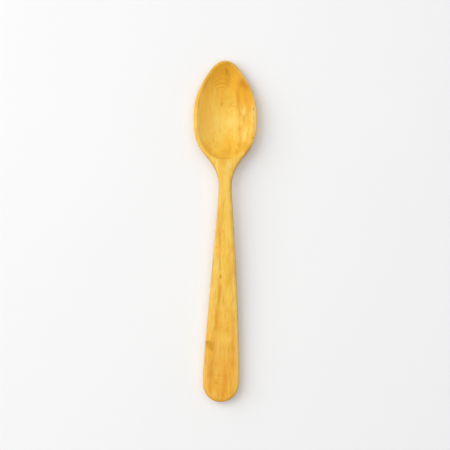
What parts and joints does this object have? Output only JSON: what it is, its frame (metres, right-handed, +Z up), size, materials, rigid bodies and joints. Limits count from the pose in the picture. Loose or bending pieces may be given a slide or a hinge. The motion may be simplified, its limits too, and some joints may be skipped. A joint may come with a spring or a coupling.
{
  "type": "wooden spoon",
  "caption": "Carved wooden spoon with a shallow oval bowl, slim neck and flat flared handle, for serving, tasting and stirring food.",
  "frame": {"origin": "on the surface that the spoon lies on, under the bowl's axis and half way along the spoon", "axes": "+Y along the spoon towards the bowl's tip, +Z up out of the bowl's hollow, +X to the right seen from above with the tip away"},
  "size_m": [0.0464, 0.25, 0.013],
  "materials": {
    "wood": "sanded smooth and oiled, satin"
  },
  "bodies": {
    "root": {"spoon": "wood"}
  },
  "joints": []
}
